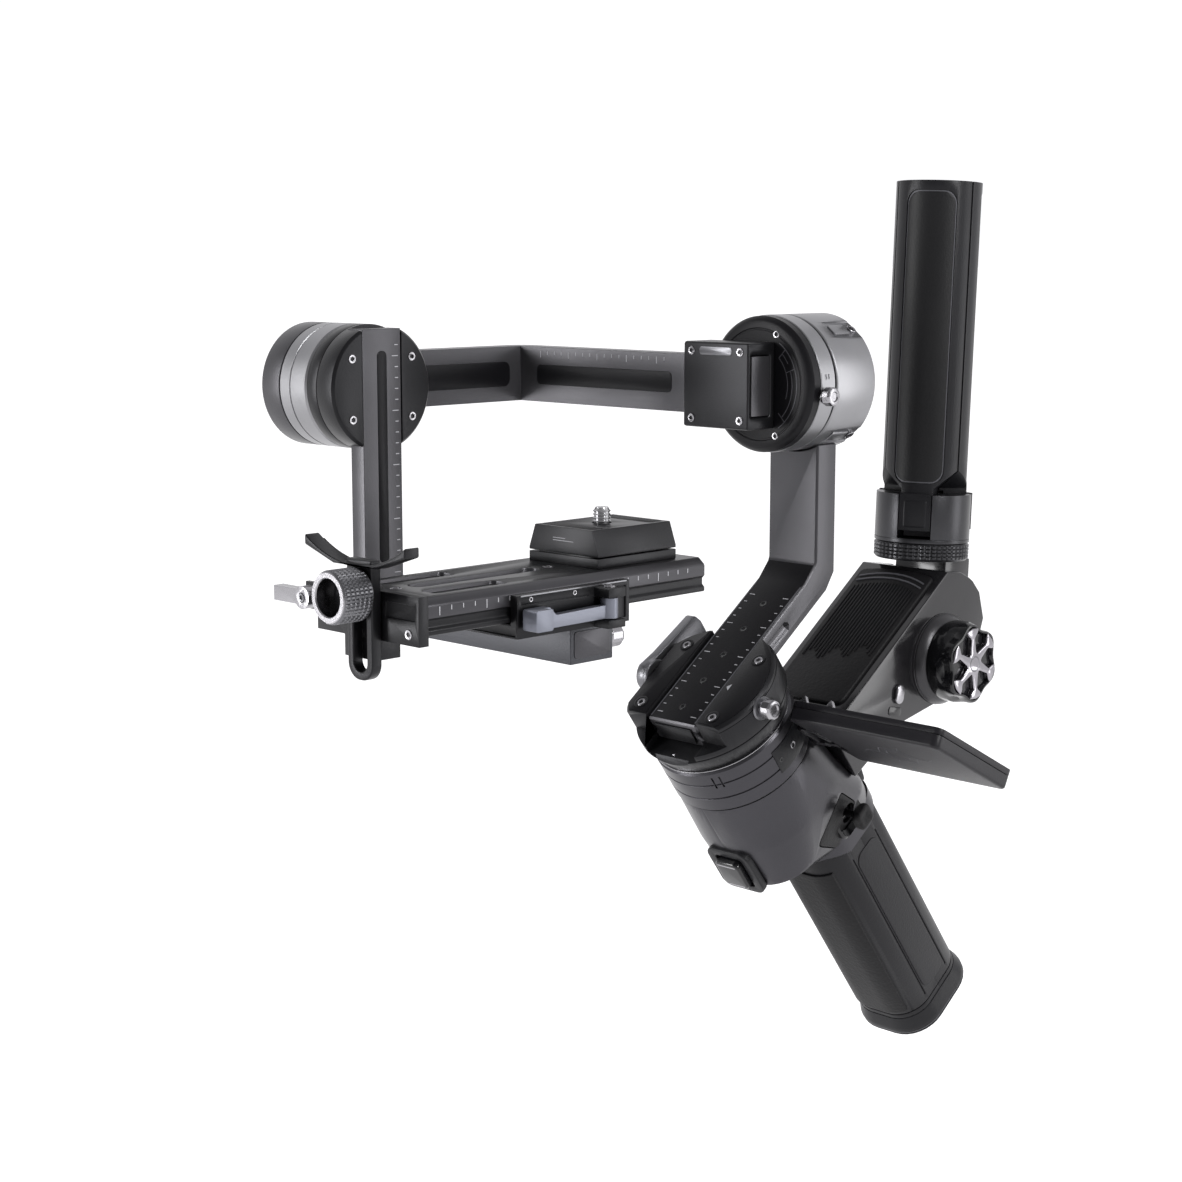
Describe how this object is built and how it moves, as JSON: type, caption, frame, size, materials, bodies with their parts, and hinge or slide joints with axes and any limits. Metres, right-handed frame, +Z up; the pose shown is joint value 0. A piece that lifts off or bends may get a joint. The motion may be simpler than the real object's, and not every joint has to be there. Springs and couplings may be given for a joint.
{
  "type": "camera gimbal",
  "caption": "Handheld three-axis camera stabiliser with a fold-out screen, a sliding camera plate and a rear sling arm carrying a folded mini tripod as a second grip.",
  "frame": {"origin": "seat of the camera screw, on the top face of the riser plate", "axes": "+Z up along the camera screw, the camera's lens points to -Y, the operator's left is +X"},
  "size_m": [0.225, 0.3329, 0.3528],
  "materials": {
    "black_anodised": "satin",
    "arm_grey": "satin",
    "shell_plastic": "satin",
    "sling_gloss": "polished",
    "rubber": "matte",
    "control_plastic": "gloss",
    "screen_plastic": "matte",
    "display_glass": "gloss",
    "silver_metal": "satin",
    "blue_grey_lever": "satin",
    "plate_black": "satin",
    "steel": "satin",
    "copper_windings": "satin",
    "cell_wrap": "gloss",
    "board_green": "matte"
  },
  "bodies": {
    "handle": {"pan_motor_housing": "black_anodised", "pan_stator": "copper_windings", "pan_bearings": "steel", "body_left_shell": "shell_plastic", "body_right_shell": "shell_plastic", "handle_front_shell": "shell_plastic", "handle_rear_shell": "shell_plastic", "grip_inlay": "rubber", "handle_end_cap": "shell_plastic", "tripod_insert": "steel", "battery_cells": "cell_wrap", "control_board": "board_green", "screen_bracket": "screen_plastic", "sling_arm": "sling_gloss", "sling_pad": "rubber"},
    "pan_rotor": {"pan_rotor_bell": "steel", "pan_clamp": "black_anodised"},
    "pan_lock": {"pan_lock_knob": "silver_metal"},
    "pan_lever": {"pan_clamp_lever": "silver_metal"},
    "pan_arm": {"pan_arm": "arm_grey", "roll_motor_housing": "black_anodised", "roll_stator": "copper_windings", "roll_bearings": "steel"},
    "roll_rotor": {"roll_rotor_bell": "steel", "roll_rotor_cap": "black_anodised", "roll_clamp": "shell_plastic"},
    "roll_lock": {"roll_lock_knob": "silver_metal"},
    "roll_arm": {"roll_arm": "arm_grey", "tilt_motor_housing": "black_anodised", "tilt_stator": "copper_windings", "tilt_bearings": "steel"},
    "tilt_rotor": {"tilt_rotor_bell": "steel", "tilt_rotor_cap": "black_anodised"},
    "tilt_lock": {"tilt_lock_knob": "silver_metal"},
    "tilt_arm": {"tilt_arm": "arm_grey", "plate_clamp": "plate_black"},
    "safety_knob": {"safety_knob": "silver_metal"},
    "plate_lever": {"plate_clamp_lever": "blue_grey_lever"},
    "plate": {"long_plate": "plate_black", "riser_plate": "plate_black", "lens_bracket": "plate_black"},
    "camera_screw": {"camera_screw": "steel"},
    "lens_stem": {"lens_stem": "plate_black"},
    "lens_knob": {"lens_knob": "silver_metal"},
    "lens_lever": {"lens_lever": "silver_metal"},
    "screen_swivel": {"screen_swivel": "control_plastic"},
    "screen": {"screen_shell": "screen_plastic", "screen_glass": "display_glass"},
    "trigger": {"front_trigger": "control_plastic"},
    "joystick_yoke": {"joystick_yoke": "control_plastic"},
    "joystick": {"joystick_cap": "control_plastic"},
    "mode_button": {"mode_button": "control_plastic"},
    "power_button": {"power_button": "control_plastic"},
    "sling_knob": {"sling_knob": "control_plastic"},
    "sling_head": {"sling_head": "shell_plastic", "grip_hub": "shell_plastic"},
    "leg_1": {"tripod_leg_1": "shell_plastic"},
    "leg_2": {"tripod_leg_2": "shell_plastic"},
    "leg_3": {"tripod_leg_3": "shell_plastic"}
  },
  "joints": [
    {"name": "pan_spin", "type": "hinge", "parent": "handle", "child": "pan_rotor", "pos_m": [0, 0.05725, -0.07206], "axis": [0, -0.5948, 0.8039], "continuous": true},
    {"name": "pan_lock_pull", "type": "slide", "parent": "pan_rotor", "child": "pan_lock", "axis": [1, 0, 0], "range_m": [0, 0.003]},
    {"name": "pan_lever_turn", "type": "hinge", "parent": "pan_rotor", "child": "pan_lever", "pos_m": [-0.0275, 0.05529, -0.06605], "axis": [1, 0, 0], "range_deg": [0, 90]},
    {"name": "pan_arm_slide", "type": "slide", "parent": "pan_rotor", "child": "pan_arm", "axis": [0, 0.8039, 0.5948], "range_m": [-0.009, 0.012]},
    {"name": "roll_spin", "type": "hinge", "parent": "pan_arm", "child": "roll_rotor", "pos_m": [0, 0.0975, 0.0445], "axis": [0, 1, 0], "range_deg": [-50, 225]},
    {"name": "roll_lock_pull", "type": "slide", "parent": "roll_rotor", "child": "roll_lock", "axis": [1, 0, 0], "range_m": [0, 0.003]},
    {"name": "roll_arm_slide", "type": "slide", "parent": "roll_rotor", "child": "roll_arm", "axis": [1, 0, 0], "range_m": [-0.015, 0.015]},
    {"name": "tilt_spin", "type": "hinge", "parent": "roll_arm", "child": "tilt_rotor", "pos_m": [-0.0993, -0.029, 0.0445], "axis": [1, 0, 0], "range_deg": [-150, 100]},
    {"name": "tilt_lock_pull", "type": "slide", "parent": "tilt_rotor", "child": "tilt_lock", "axis": [0, 1, 0], "range_m": [0, 0.003]},
    {"name": "tilt_arm_slide", "type": "slide", "parent": "tilt_rotor", "child": "tilt_arm", "axis": [0, 0, 1], "range_m": [-0.012, 0.012]},
    {"name": "safety_knob_pull", "type": "slide", "parent": "tilt_arm", "child": "safety_knob", "axis": [0, 1, 0], "range_m": [0, 0.003]},
    {"name": "plate_lever_turn", "type": "hinge", "parent": "tilt_arm", "child": "plate_lever", "pos_m": [0.0302, -0.027, -0.0235], "axis": [0, 0, 1], "range_deg": [0, 100]},
    {"name": "plate_slide", "type": "slide", "parent": "tilt_arm", "child": "plate", "axis": [0, 1, 0], "range_m": [-0.025, 0.025]},
    {"name": "camera_screw_turn", "type": "hinge", "parent": "plate", "child": "camera_screw", "pos_m": [0, 0, 0], "axis": [0, 0, 1], "continuous": true},
    {"name": "lens_stem_slide", "type": "slide", "parent": "plate", "child": "lens_stem", "axis": [0, 0, 1], "range_m": [0, 0.02]},
    {"name": "lens_knob_turn", "type": "hinge", "parent": "plate", "child": "lens_knob", "pos_m": [0, -0.115, -0.013], "axis": [0, 1, 0], "continuous": true},
    {"name": "lens_lever_turn", "type": "hinge", "parent": "plate", "child": "lens_lever", "pos_m": [-0.0315, -0.106, -0.018], "axis": [0, 1, 0], "range_deg": [0, 90]},
    {"name": "screen_open", "type": "hinge", "parent": "handle", "child": "screen_swivel", "pos_m": [0.0306, 0.08736, -0.08351], "axis": [0, 0.887, -0.4617], "range_deg": [-40, 10]},
    {"name": "screen_flip", "type": "hinge", "parent": "screen_swivel", "child": "screen", "pos_m": [0.048, 0.08736, -0.08351], "axis": [1, 0, 0], "range_deg": [-10, 110]},
    {"name": "trigger_press", "type": "slide", "parent": "handle", "child": "trigger", "axis": [0, 0.8039, 0.5948], "range_m": [0, 0.0025], "stiffness_N_per_m": 600},
    {"name": "joystick_up_down", "type": "hinge", "parent": "handle", "child": "joystick_yoke", "pos_m": [0.017, 0.11413, -0.12203], "axis": [0, 0.8039, 0.5948], "range_deg": [-12, 12], "stiffness_Nm_per_rad": 0.05},
    {"name": "joystick_side", "type": "hinge", "parent": "joystick_yoke", "child": "joystick", "pos_m": [0.017, 0.11413, -0.12203], "axis": [0, -0.5948, 0.8039], "range_deg": [-12, 12], "stiffness_Nm_per_rad": 0.05},
    {"name": "mode_press", "type": "slide", "parent": "handle", "child": "mode_button", "axis": [0, -0.8039, -0.5948], "range_m": [0, 0.0015], "stiffness_N_per_m": 500},
    {"name": "power_press", "type": "slide", "parent": "handle", "child": "power_button", "axis": [0, -0.8039, -0.5948], "range_m": [0, 0.0015], "stiffness_N_per_m": 500},
    {"name": "sling_knob_turn", "type": "hinge", "parent": "handle", "child": "sling_knob", "pos_m": [0, 0.17317, -0.06901], "axis": [1, 0, 0], "continuous": true},
    {"name": "sling_head_fold", "type": "hinge", "parent": "handle", "child": "sling_head", "pos_m": [0, 0.17317, -0.06901], "axis": [1, 0, 0], "range_deg": [-80, 3]},
    {"name": "leg_1_open", "type": "hinge", "parent": "sling_head", "child": "leg_1", "pos_m": [0.00592, 0.17545, -0.01367], "axis": [0.8988, 0.4379, -0.0199], "range_deg": [0, 22]},
    {"name": "leg_2_open", "type": "hinge", "parent": "sling_head", "child": "leg_2", "pos_m": [0.00755, 0.19875, -0.01473], "axis": [-0.829, 0.5586, -0.0254], "range_deg": [0, 55]},
    {"name": "leg_3_open", "type": "hinge", "parent": "sling_head", "child": "leg_3", "pos_m": [-0.01347, 0.18851, -0.01426], "axis": [-0.0698, -0.9965, 0.0453], "range_deg": [0, 55]}
  ]
}
